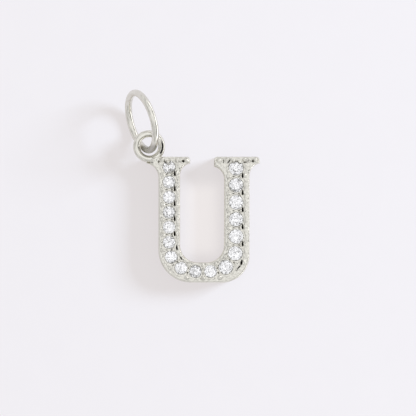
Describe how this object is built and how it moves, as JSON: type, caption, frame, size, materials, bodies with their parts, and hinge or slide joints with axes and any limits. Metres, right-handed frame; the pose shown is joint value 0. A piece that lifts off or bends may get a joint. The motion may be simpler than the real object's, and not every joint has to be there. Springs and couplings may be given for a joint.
{
  "type": "initial pendant",
  "caption": "Serifed letter pendant lying on its flat back, face set with one row of round brilliant stones, a cast loop at one corner and a jump ring through it.",
  "frame": {"origin": "on the flat back of the letter, in the middle of the bow that joins its legs", "axes": "+X across the letter to its thicker leg, +Y up the legs to the serifs, +Z out of the stone-set face"},
  "size_m": [0.0107, 0.0153, 0.0048],
  "materials": {
    "metal": "polished rhodium-coloured silver, slightly warm, softly reflecting",
    "stones": "colourless round brilliants, clear and bright"
  },
  "bodies": {
    "root": {"letter_body": "metal", "jump_ring": "metal", "stone_01": "stones", "stone_02": "stones", "stone_03": "stones", "stone_04": "stones", "stone_05": "stones", "stone_06": "stones", "stone_07": "stones", "stone_08": "stones", "stone_09": "stones", "stone_10": "stones", "stone_11": "stones", "stone_12": "stones", "stone_13": "stones", "stone_14": "stones", "stone_15": "stones", "stone_16": "stones", "stone_17": "stones"}
  },
  "joints": []
}
